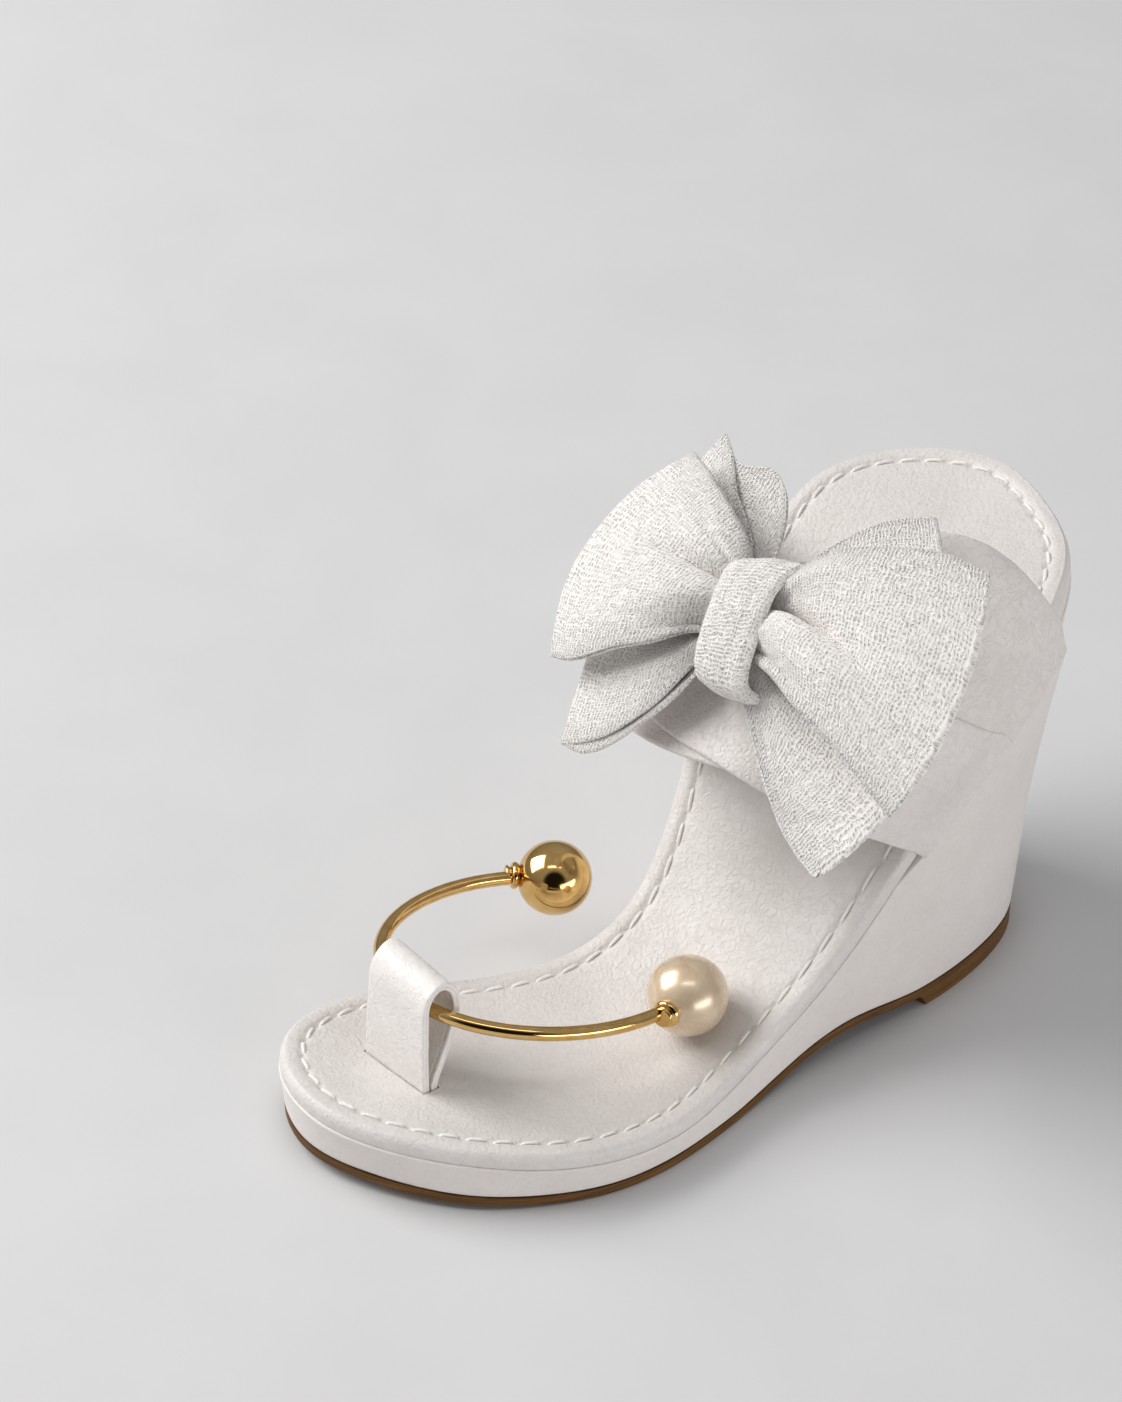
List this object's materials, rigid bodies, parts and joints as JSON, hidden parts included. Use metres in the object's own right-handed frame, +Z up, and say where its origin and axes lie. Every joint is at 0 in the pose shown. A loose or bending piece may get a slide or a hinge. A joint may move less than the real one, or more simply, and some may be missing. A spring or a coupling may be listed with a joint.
{
  "type": "wedge mule sandal",
  "caption": "Left wedge-heel mule sandal with crossed instep bands, a fabric bow and a toe loop holding an open metal ring with end balls.",
  "frame": {"origin": "on the floor at the middle of the heel's flat base", "axes": "+X to the outer side of the foot, +Y to the back of the heel (the toe points along -Y), +Z up"},
  "size_m": [0.106, 0.2128, 0.1337],
  "materials": {
    "white_leather": "fine-grained white synthetic leather, low sheen",
    "brown_rubber": "matte tan-brown moulded sole",
    "polished_gold": "polished gold plating",
    "pearl": "champagne pearl coating, glossy",
    "white_gauze": "off-white crinkled open-weave gauze"
  },
  "bodies": {
    "sandal": {"outsole": "brown_rubber", "wedge": "white_leather", "insole": "white_leather", "upper": "white_leather", "toe_loop": "white_leather", "bow_front_loop_inner": "white_gauze", "bow_front_loop_outer": "white_gauze", "bow_back_loop_inner": "white_gauze", "bow_back_loop_outer": "white_gauze", "bow_knot": "white_gauze"},
    "cuff": {"toe_ring": "polished_gold", "collar_gold": "polished_gold", "collar_pearl": "polished_gold", "ball_gold": "polished_gold", "ball_pearl": "pearl"}
  },
  "joints": [
    {"name": "ring_swing", "type": "hinge", "parent": "sandal", "child": "cuff", "pos_m": [-0.0243, -0.13459, 0.03531], "axis": [0.9994, -0.0349, 0], "range_deg": [0, 45]}
  ]
}
